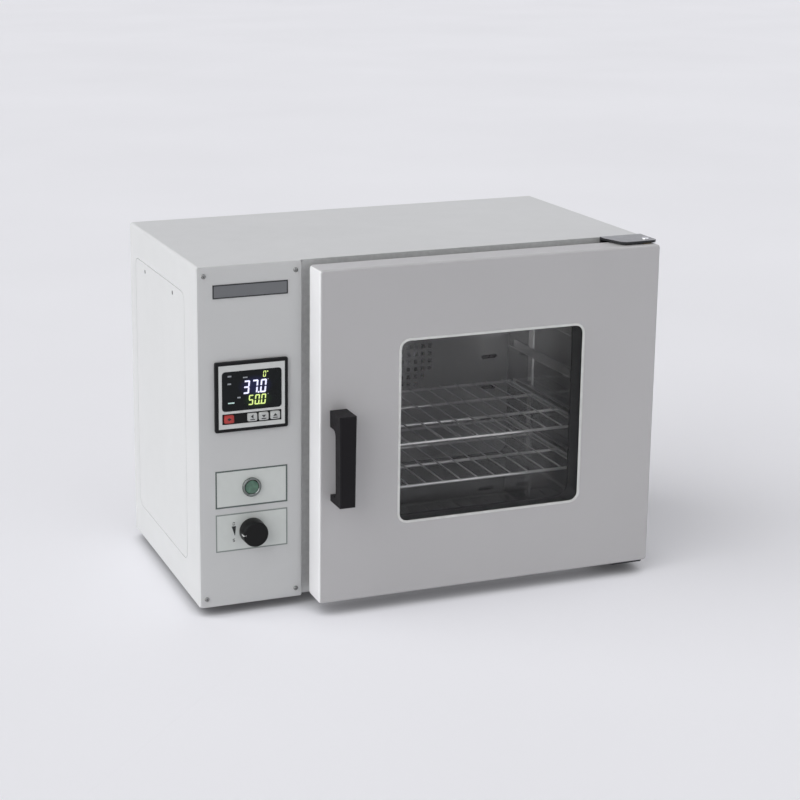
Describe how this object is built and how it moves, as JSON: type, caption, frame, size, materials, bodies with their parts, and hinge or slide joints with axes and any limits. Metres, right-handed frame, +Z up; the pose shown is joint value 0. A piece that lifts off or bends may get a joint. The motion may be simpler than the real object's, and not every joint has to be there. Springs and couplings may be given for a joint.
{
  "type": "dry heat sterilizer",
  "caption": "Bench-top dry heat sterilizer with a control bay on the left, a stainless fan-circulated chamber with wire shelves, and a right-hinged glazed door.",
  "frame": {"origin": "on the floor, at the middle of the whole instrument's bounding box", "axes": "+X to the right as seen by someone facing the door, +Y towards the rear sheet, +Z up"},
  "size_m": [0.59, 0.454, 0.441],
  "materials": {
    "cabinet_paint": "light grey powder coat, fine satin texture",
    "panel_paint": "mid grey satin powder coat",
    "door_paint": "mid grey satin powder coat",
    "bright_stainless": "mirror-bright stainless sheet",
    "frame_stainless": "satin stainless sheet",
    "rack_stainless": "satin stainless strip",
    "shelf_wire": "bright drawn stainless wire",
    "galvanised_sheet": "dull galvanised sheet",
    "screw_steel": "zinc-plated steel",
    "nameplate_plastic": "bare dark grey plate",
    "bezel_plastic": "fine matt black moulding",
    "fascia_silver": "silver-grey film",
    "display_plastic": "smoked glossy window",
    "key_red": "glossy red key",
    "key_dark": "pale grey key",
    "label_film": "grey-green printed film",
    "ring_chrome": "polished ring",
    "lens_green": "translucent green lens",
    "knob_black": "satin black moulding",
    "spindle_steel": "turned steel and plain sheet",
    "sink_aluminium": "plain extruded aluminium",
    "relay_plastic": "moulded case",
    "inlet_plastic": "moulded black plastic",
    "mineral_wool": "mineral wool board",
    "heater_sheath": "heat-darkened sheathed rod",
    "motor_paint": "dark grey enamel",
    "fan_aluminium": "plain sheet aluminium",
    "vent_stainless": "drawn stainless tube",
    "hinge_steel": "dark satin enamel",
    "pin_steel": "bright turned steel",
    "bush_brass": "turned brass",
    "magnet_plastic": "moulded case",
    "clear_glass": "clear tempered glass",
    "trim_pale": "pale glossy edging",
    "gasket_silicone": "pale silicone",
    "handle_black": "satin black moulding",
    "foot_rubber": "matt black rubber"
  },
  "bodies": {
    "cabinet": {"outer_shell": "cabinet_paint", "side_cover": "cabinet_paint", "side_cover_screws": "screw_steel", "base_pan": "cabinet_paint", "back_panel": "cabinet_paint", "partition": "galvanised_sheet", "front_frame": "frame_stainless", "feet": "foot_rubber", "control_panel": "panel_paint", "control_panel_screws": "screw_steel", "nameplate": "nameplate_plastic", "controller_housing": "bezel_plastic", "controller_fascia": "fascia_silver", "display_window": "display_plastic", "power_label": "label_film", "power_switch_housing": "ring_chrome", "air_label": "label_film", "air_duct": "galvanised_sheet", "heat_sink": "sink_aluminium", "relay": "relay_plastic", "power_inlet": "inlet_plastic", "chamber_liner": "bright_stainless", "chamber_back": "bright_stainless", "insulation": "mineral_wool", "duct_plate": "bright_stainless", "left_shelf_rack": "rack_stainless", "right_shelf_rack": "rack_stainless", "heater_element": "heater_sheath", "fan_motor": "motor_paint", "motor_cover": "cabinet_paint", "motor_cover_screws": "screw_steel", "exhaust_pipe": "vent_stainless", "temperature_probe": "vent_stainless", "upper_hinge_plate": "hinge_steel", "lower_hinge_plate": "hinge_steel", "hinge_pins": "pin_steel", "hinge_screws": "screw_steel", "magnetic_catch": "magnet_plastic"},
    "door": {"door_shell": "door_paint", "door_inner_panel": "bright_stainless", "door_insulation": "mineral_wool", "outer_glass": "clear_glass", "inner_glass": "clear_glass", "window_sleeve": "frame_stainless", "window_trim": "trim_pale", "door_gasket": "gasket_silicone", "handle": "handle_black", "handle_screws": "screw_steel", "hinge_bushes": "bush_brass", "catch_plate": "pin_steel"},
    "run_key": {"run_key": "key_red"},
    "left_key": {"left_key": "key_dark"},
    "middle_key": {"middle_key": "key_dark"},
    "right_key": {"right_key": "key_dark"},
    "power_button": {"power_button": "lens_green"},
    "air_control": {"air_knob": "knob_black", "damper": "spindle_steel"},
    "fan": {"fan_wheel": "fan_aluminium"},
    "lower_shelf": {"lower_shelf": "shelf_wire"},
    "upper_shelf": {"upper_shelf": "shelf_wire"}
  },
  "joints": [
    {"name": "door_hinge", "type": "hinge", "parent": "cabinet", "child": "door", "pos_m": [0.283, -0.1755, 0.2255], "axis": [0, 0, 1], "range_deg": [0, 170]},
    {"name": "run_key_press", "type": "slide", "parent": "cabinet", "child": "run_key", "axis": [0, 1, 0], "range_m": [0, 0.0008], "stiffness_N_per_m": 200},
    {"name": "left_key_press", "type": "slide", "parent": "cabinet", "child": "left_key", "axis": [0, 1, 0], "range_m": [0, 0.0008], "stiffness_N_per_m": 200},
    {"name": "middle_key_press", "type": "slide", "parent": "cabinet", "child": "middle_key", "axis": [0, 1, 0], "range_m": [0, 0.0008], "stiffness_N_per_m": 200},
    {"name": "right_key_press", "type": "slide", "parent": "cabinet", "child": "right_key", "axis": [0, 1, 0], "range_m": [0, 0.0008], "stiffness_N_per_m": 200},
    {"name": "power_press", "type": "slide", "parent": "cabinet", "child": "power_button", "axis": [0, 1, 0], "range_m": [0, 0.0025], "stiffness_N_per_m": 300},
    {"name": "air_turn", "type": "hinge", "parent": "cabinet", "child": "air_control", "pos_m": [-0.229, -0.157, 0.106], "axis": [0, 1, 0], "range_deg": [0, 90]},
    {"name": "fan_spin", "type": "hinge", "parent": "cabinet", "child": "fan", "pos_m": [0.0675, 0.153, 0.244], "axis": [0, 1, 0], "continuous": true},
    {"name": "lower_shelf_slide", "type": "slide", "parent": "cabinet", "child": "lower_shelf", "axis": [0, -1, 0], "range_m": [0, 0.01]},
    {"name": "upper_shelf_slide", "type": "slide", "parent": "cabinet", "child": "upper_shelf", "axis": [0, -1, 0], "range_m": [0, 0.01]}
  ]
}
